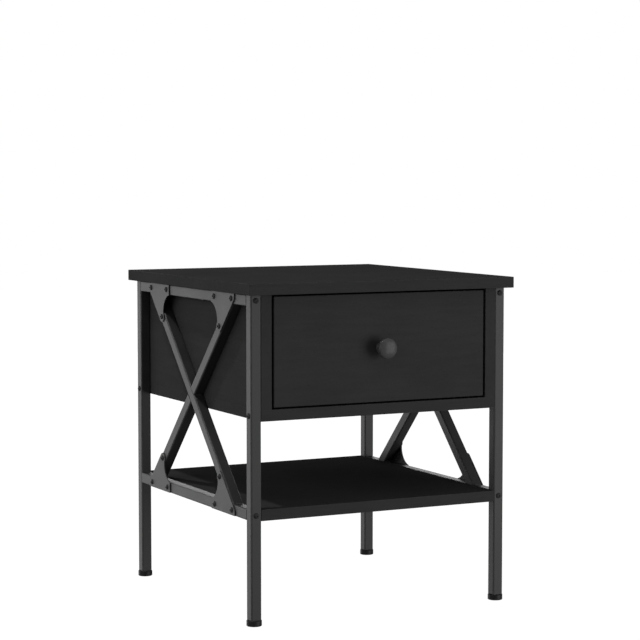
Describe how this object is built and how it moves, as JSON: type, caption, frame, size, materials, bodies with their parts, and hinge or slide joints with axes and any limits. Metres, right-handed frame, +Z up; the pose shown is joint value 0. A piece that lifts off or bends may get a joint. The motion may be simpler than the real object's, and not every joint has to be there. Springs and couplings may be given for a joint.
{
  "type": "side table with drawer",
  "caption": "Square side table on a cross-braced steel tube frame, with a low open shelf and a black cabinet whose drawer slides out on rollers.",
  "frame": {"origin": "on the floor, under the middle of the table's outline with the drawer closed and the knob included", "axes": "+X to the table's right seen from the front, -Y out of the drawer front (the drawer opens along -Y), +Z up"},
  "size_m": [0.4, 0.43, 0.45],
  "materials": {
    "black_board": "matt black melamine coating with a fine grain",
    "grey_steel": "dark grey fine-texture powder coat",
    "black_screw": "black oxide, satin",
    "black_plastic": "moulded, matt",
    "grey_knob": "satin lacquer",
    "drawer_board": "dark foil, matt",
    "thin_board": "lacquered hardboard",
    "runner_steel": "light epoxy coat",
    "roller_plastic": "moulded nylon",
    "zinc_steel": "bright zinc plate",
    "beech": "fluted beech"
  },
  "bodies": {
    "frame": {"brace_long_left": "grey_steel", "brace_long_right": "grey_steel", "brace_lower_left": "grey_steel", "brace_lower_right": "grey_steel", "brace_upper_left": "grey_steel", "brace_upper_right": "grey_steel", "cabinet_back": "thin_board", "cabinet_bottom": "black_board", "cabinet_dowels": "beech", "cabinet_roller_pins": "zinc_steel", "cabinet_runner_left": "runner_steel", "cabinet_runner_right": "runner_steel", "cabinet_runner_screws": "zinc_steel", "cabinet_screws": "black_screw", "cabinet_side_left": "black_board", "cabinet_side_right": "black_board", "corner_plate_bottom_back_left": "grey_steel", "corner_plate_bottom_back_right": "grey_steel", "corner_plate_bottom_front_left": "grey_steel", "corner_plate_bottom_front_right": "grey_steel", "corner_plate_screws": "black_screw", "corner_plate_top_back_left": "grey_steel", "corner_plate_top_back_right": "grey_steel", "corner_plate_top_front_left": "grey_steel", "corner_plate_top_front_right": "grey_steel", "foot_back_left": "black_plastic", "foot_back_right": "black_plastic", "foot_front_left": "black_plastic", "foot_front_right": "black_plastic", "frame_screws": "black_screw", "leg_back_left": "grey_steel", "leg_back_right": "grey_steel", "leg_front_left": "grey_steel", "leg_front_right": "grey_steel", "rail_end_plugs": "zinc_steel", "shelf_panel": "black_board", "shelf_rail_left": "grey_steel", "shelf_rail_right": "grey_steel", "shelf_tab_screws": "black_screw", "shelf_tabs": "grey_steel", "top_panel": "black_board", "top_rail_left": "grey_steel", "top_rail_right": "grey_steel"},
    "drawer": {"drawer_front": "black_board", "drawer_side_left": "drawer_board", "drawer_side_right": "drawer_board", "drawer_back": "drawer_board", "drawer_bottom": "thin_board", "drawer_pegs": "beech", "drawer_back_screws": "zinc_steel", "knob": "grey_knob", "knob_screw": "zinc_steel", "drawer_runner_left": "runner_steel", "drawer_runner_right": "runner_steel", "drawer_runner_screws": "zinc_steel", "drawer_roller_pins": "zinc_steel"},
    "front_roller_left": {"roller_front_left": "roller_plastic"},
    "front_roller_right": {"roller_front_right": "roller_plastic"},
    "back_roller_left": {"roller_back_left": "roller_plastic"},
    "back_roller_right": {"roller_back_right": "roller_plastic"}
  },
  "joints": [
    {"name": "drawer_slide", "type": "slide", "parent": "frame", "child": "drawer", "axis": [0, -1, 0], "range_m": [0, 0.25]},
    {"name": "front_roller_left_spin", "type": "hinge", "parent": "frame", "child": "front_roller_left", "pos_m": [-0.1574, -0.1615, 0.3063], "axis": [1, 0, 0], "continuous": true},
    {"name": "front_roller_right_spin", "type": "hinge", "parent": "frame", "child": "front_roller_right", "pos_m": [0.1574, -0.1615, 0.3063], "axis": [1, 0, 0], "continuous": true},
    {"name": "back_roller_left_spin", "type": "hinge", "parent": "drawer", "child": "back_roller_left", "pos_m": [-0.1551, 0.1585, 0.3063], "axis": [1, 0, 0], "continuous": true},
    {"name": "back_roller_right_spin", "type": "hinge", "parent": "drawer", "child": "back_roller_right", "pos_m": [0.1551, 0.1585, 0.3063], "axis": [1, 0, 0], "continuous": true}
  ],
  "couplings": [
    {"joint": "front_roller_left_spin", "follows": "drawer_slide", "rad_per_m": 142.86},
    {"joint": "front_roller_right_spin", "follows": "drawer_slide", "rad_per_m": 142.86},
    {"joint": "back_roller_left_spin", "follows": "drawer_slide", "rad_per_m": 142.86},
    {"joint": "back_roller_right_spin", "follows": "drawer_slide", "rad_per_m": 142.86}
  ]
}
